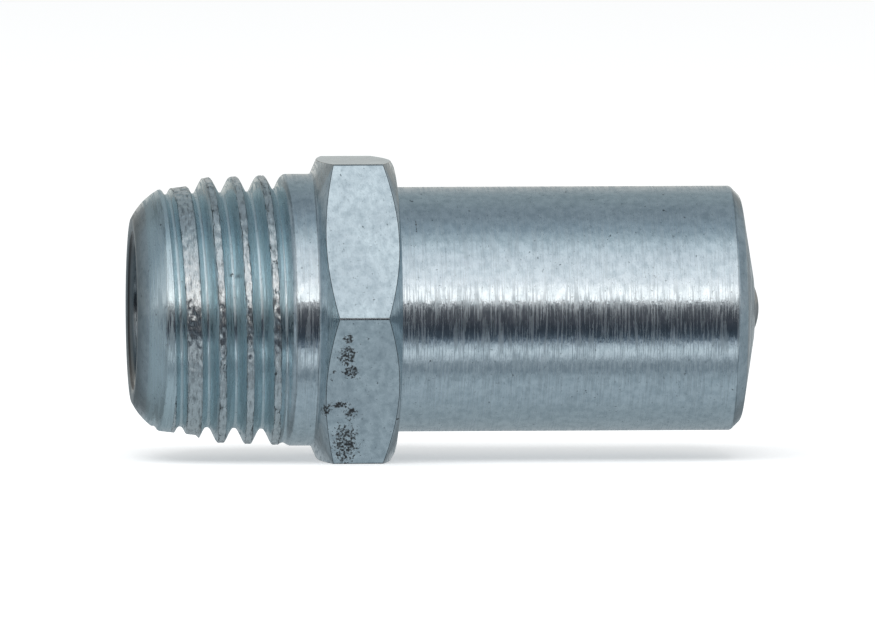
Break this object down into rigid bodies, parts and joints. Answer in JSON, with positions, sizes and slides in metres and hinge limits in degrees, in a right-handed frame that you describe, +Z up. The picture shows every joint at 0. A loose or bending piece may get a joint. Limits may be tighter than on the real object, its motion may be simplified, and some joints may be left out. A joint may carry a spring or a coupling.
{
  "type": "filler nipple",
  "caption": "Grease gun filler nipple with a taper thread, a hexagon and a plain filling spigot that holds a spring-loaded ball valve.",
  "frame": {"origin": "on the axis, where the threaded shank meets the hexagon", "axes": "+X along the axis, out of the valve end; +Z up, square to the hexagon flat that the part lies on; +Y along a line through two hexagon corners"},
  "size_m": [0.0231, 0.0128, 0.011],
  "materials": {
    "plated_steel": "bright zinc plate with a bluish passivation, fine turning marks",
    "ball_steel": "polished hardened steel",
    "spring_steel": "drawn spring wire, slightly oiled",
    "washer_steel": "punched sheet steel, satin"
  },
  "bodies": {
    "nipple": {"nipple_body": "plated_steel", "spring_washer": "washer_steel", "valve_spring": "spring_steel"},
    "ball": {"valve_ball": "ball_steel"}
  },
  "joints": [
    {"name": "ball_lift", "type": "slide", "parent": "nipple", "child": "ball", "axis": [-1, 0, 0], "range_m": [0, 0.0012], "stiffness_N_per_m": 300, "springref_m": -0.003, "deforming": ["valve_spring"]}
  ]
}
